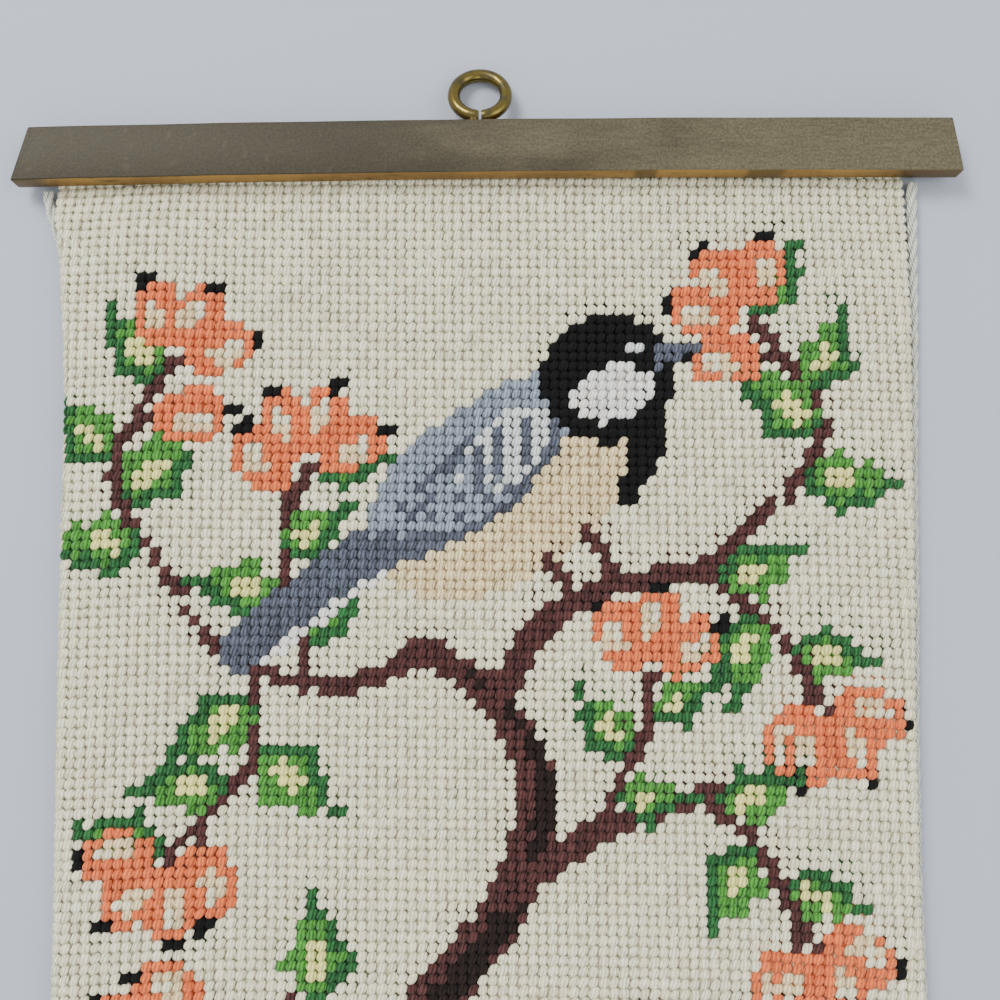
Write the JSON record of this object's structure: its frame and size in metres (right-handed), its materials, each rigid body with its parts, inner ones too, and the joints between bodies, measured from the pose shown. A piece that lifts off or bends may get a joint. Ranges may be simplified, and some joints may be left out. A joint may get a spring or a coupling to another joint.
{
  "type": "needlepoint bell pull panel with hanger bar and screw eye",
  "caption": "Stitched wool-on-canvas panel with a bird, branch and berry design, side hems with edging cord, a flat mitred metal bar and a screw eye to hang it by.",
  "frame": {"origin": "under the middle of the whole object, on the surface it lies on", "axes": "+Z out of the worked face, +Y along the panel towards the bar and screw eye, +X to the right seen from the face"},
  "size_m": [0.2107, 0.4838, 0.0069],
  "materials": {
    "wool_on_canvas": "cream wool half-cross stitch with coloured design, matt",
    "edging_cord": "twisted cord with a silky lustre",
    "bar_metal": "dull brown-green patina, bare golden lower edge",
    "eye_metal": "polished, slightly tarnished"
  },
  "bodies": {
    "root": {"panel": "wool_on_canvas", "edge_cord_left": "edging_cord", "edge_cord_right": "edging_cord", "hanger_bar": "bar_metal", "screw_eye": "eye_metal"}
  },
  "joints": []
}
